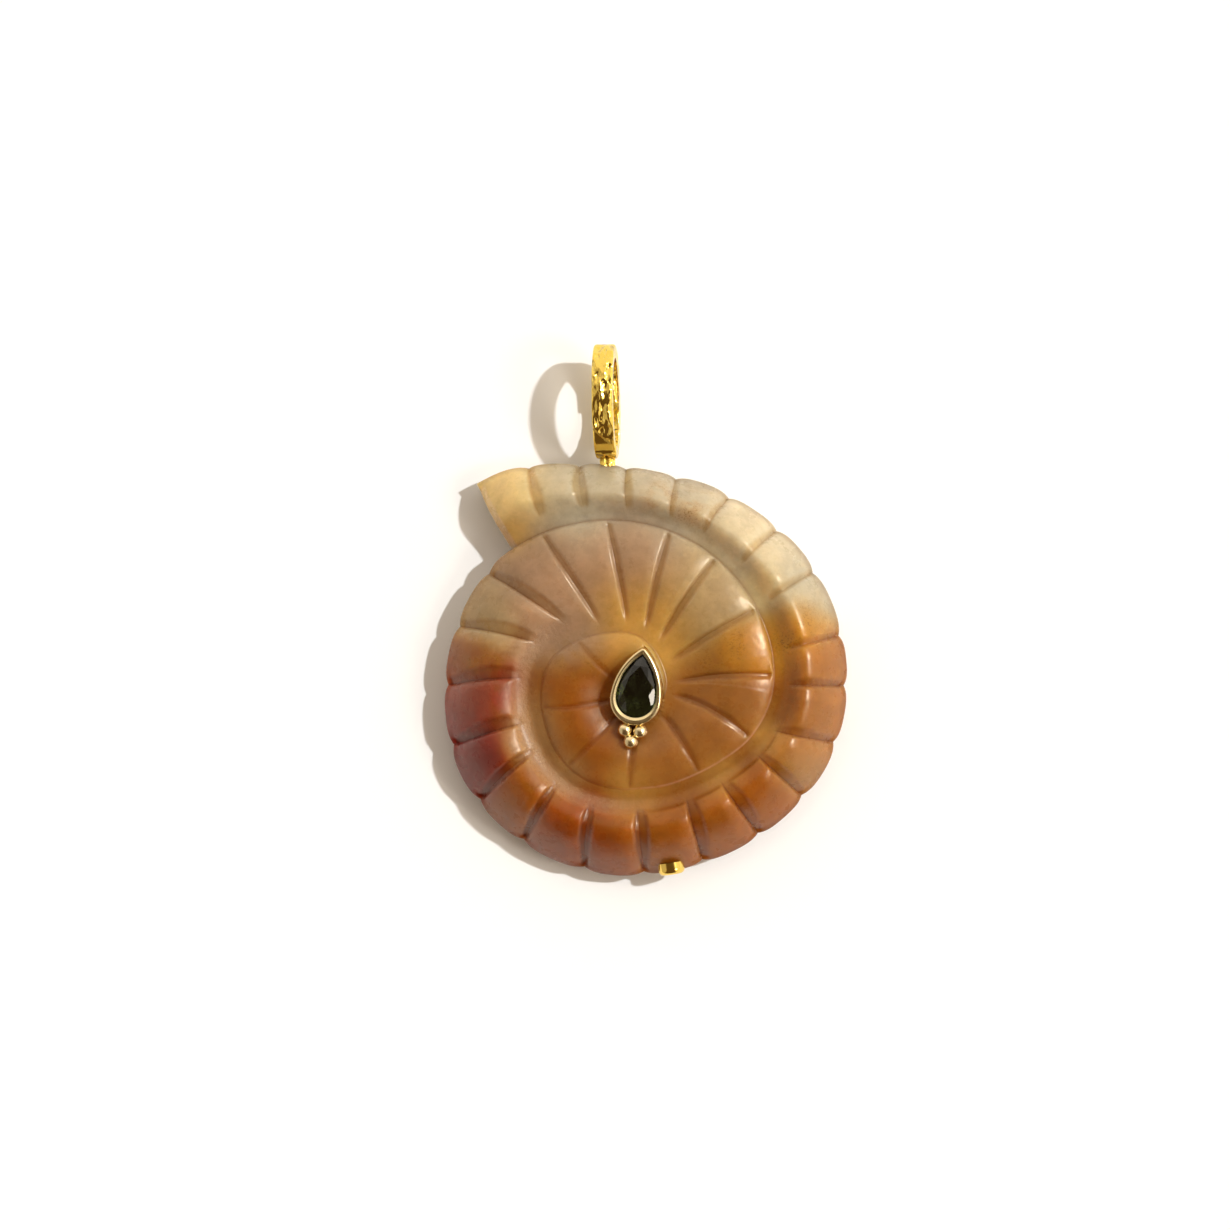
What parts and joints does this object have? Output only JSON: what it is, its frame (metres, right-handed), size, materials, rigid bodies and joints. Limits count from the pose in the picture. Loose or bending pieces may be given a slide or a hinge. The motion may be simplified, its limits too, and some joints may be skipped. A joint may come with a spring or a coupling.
{
  "type": "pendant with hinged bail",
  "caption": "Carved agate ammonite pendant with a hinged oval gold bail, a pear stone in a bezel with granules, and a gold end cap.",
  "frame": {"origin": "on the flat back, under the centre of the shell's spiral", "axes": "+X to the right and +Y towards the bail as the pendant is worn, +Z out of its face towards the viewer; the back lies in the XY plane"},
  "size_m": [0.0439, 0.0577, 0.009],
  "materials": {
    "agate": "satin polished translucent agate, honey to carnelian",
    "gold": "bright yellow gold, hammered on the bail",
    "pale_gold": "bright pale gold",
    "green_stone": "polished dark green faceted stone"
  },
  "bodies": {
    "pendant": {"shell": "agate", "bail": "gold", "hinge_pin": "gold", "end_cap": "gold", "bezel": "pale_gold", "pear_stone": "green_stone"},
    "gate": {"bail_gate": "gold"}
  },
  "joints": [
    {"name": "gate_hinge", "type": "hinge", "parent": "pendant", "child": "gate", "pos_m": [-0.0033, 0.02785, 0.00187], "axis": [-1, 0, 0], "range_deg": [0, 55]}
  ]
}
